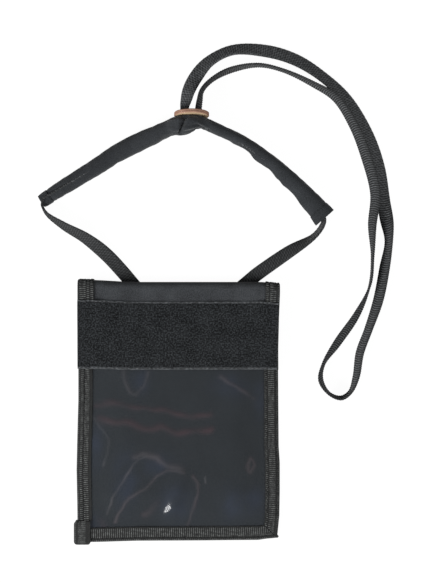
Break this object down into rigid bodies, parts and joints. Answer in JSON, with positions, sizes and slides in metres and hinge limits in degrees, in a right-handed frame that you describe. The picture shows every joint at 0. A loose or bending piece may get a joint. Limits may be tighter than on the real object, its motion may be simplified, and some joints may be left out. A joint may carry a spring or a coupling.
{
  "type": "neck pouch wallet",
  "caption": "Flat fabric pouch with a clear front window and a fold-over flap faced with loop tape, hung from a flat neck strap with a soft sleeve and a sliding disc.",
  "frame": {"origin": "under the middle of the pouch, on the surface that it lies on, face up; the strap, sleeve and disc aren't counted", "axes": "+X across the pouch, +Y along it towards the strap, +Z out of its front"},
  "size_m": [0.2579, 0.3645, 0.0256],
  "materials": {
    "shell_fabric": "matt woven synthetic",
    "binding_tape": "ribbed woven tape",
    "loop_tape": "brushed loop pile",
    "hook_tape": "moulded hooks",
    "window_vinyl": "clear, softly rippled",
    "strap_braid": "flat braid",
    "sleeve_fabric": "smooth soft fabric",
    "slider_leather": "vegetable-tanned, raw edge",
    "thread": "sewing thread"
  },
  "bodies": {
    "pouch": {"back_panel": "shell_fabric", "front_panel": "shell_fabric", "id_window": "window_vinyl", "closure_loop_tape": "loop_tape", "side_binding_left": "binding_tape", "side_binding_right": "binding_tape", "bottom_binding": "binding_tape", "binding_corner_fold": "binding_tape", "flap_fold": "shell_fabric", "fold_binding_left": "binding_tape", "fold_binding_right": "binding_tape", "strap_end_left": "strap_braid", "strap_end_right": "strap_braid", "neck_strap": "strap_braid", "neck_sleeve": "sleeve_fabric"},
    "flap": {"flap_panel": "shell_fabric", "flap_hook_tape": "hook_tape", "flap_loop_tape": "loop_tape", "flap_binding_left": "binding_tape", "flap_binding_right": "binding_tape"},
    "slider": {"slider_disc": "slider_leather"}
  },
  "joints": [
    {"name": "flap_hinge", "type": "hinge", "parent": "pouch", "child": "flap", "pos_m": [0, 0.09255, 0.00605], "axis": [-1, 0, 0], "range_deg": [0, 150], "deforming": ["flap_fold", "fold_binding_left", "fold_binding_right"]},
    {"name": "slider_slide", "type": "slide", "parent": "pouch", "child": "slider", "axis": [0.13, 0.9915, 0], "range_m": [0, 0.008]}
  ]
}
